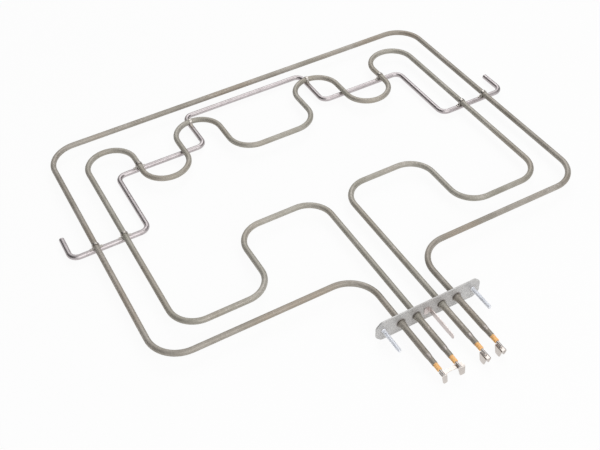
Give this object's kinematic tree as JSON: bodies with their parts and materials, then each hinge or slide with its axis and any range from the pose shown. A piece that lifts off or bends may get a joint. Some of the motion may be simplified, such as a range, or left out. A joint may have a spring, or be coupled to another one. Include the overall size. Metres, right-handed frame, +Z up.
{
  "type": "oven grill heating element",
  "caption": "Flat oven roof heater: an outer rectangular and an inner waved heating tube on a flange plate with studs and terminals, strapped to a carrying wire.",
  "frame": {"origin": "middle of the flange plate's seat face, midway between the two studs", "axes": "+Y from the seat face into the oven along the tube legs, +Z up out of the tubes' plane, X across the width"},
  "size_m": [0.5692, 0.5057, 0.0254],
  "materials": {
    "sheath_outer": "dull olive-brown oxidised steel, satin",
    "sheath_inner": "dull olive-grey oxidised steel, satin",
    "galvanised_plate": "mottled galvanised sheet",
    "earth_metal": "plated sheet, satin",
    "wire_steel": "bright drawn wire",
    "terminal_metal": "nickel-plated sheet, satin",
    "stud_zinc": "bluish zinc plating",
    "pin_steel": "bright steel rod",
    "seal_rubber": "orange silicone",
    "clip_steel": "bright spring strip"
  },
  "bodies": {
    "root": {"clip_crest_left": "clip_steel", "clip_crest_right": "clip_steel", "clip_inner_left": "clip_steel", "clip_inner_right": "clip_steel", "clip_outer_left": "clip_steel", "clip_outer_right": "clip_steel", "clip_wave_left": "clip_steel", "clip_wave_right": "clip_steel", "earth_tab": "earth_metal", "end_seal_1": "seal_rubber", "end_seal_2": "seal_rubber", "end_seal_3": "seal_rubber", "end_seal_4": "seal_rubber", "flange_plate": "galvanised_plate", "inner_heater_tube": "sheath_inner", "link_terminal": "terminal_metal", "mounting_stud_left": "stud_zinc", "mounting_stud_right": "stud_zinc", "outer_heater_tube": "sheath_outer", "spade_terminal_3": "terminal_metal", "spade_terminal_4": "terminal_metal", "support_wire": "wire_steel", "terminal_pin_1": "pin_steel", "terminal_pin_2": "pin_steel", "terminal_pin_3": "pin_steel", "terminal_pin_4": "pin_steel"}
  },
  "joints": []
}
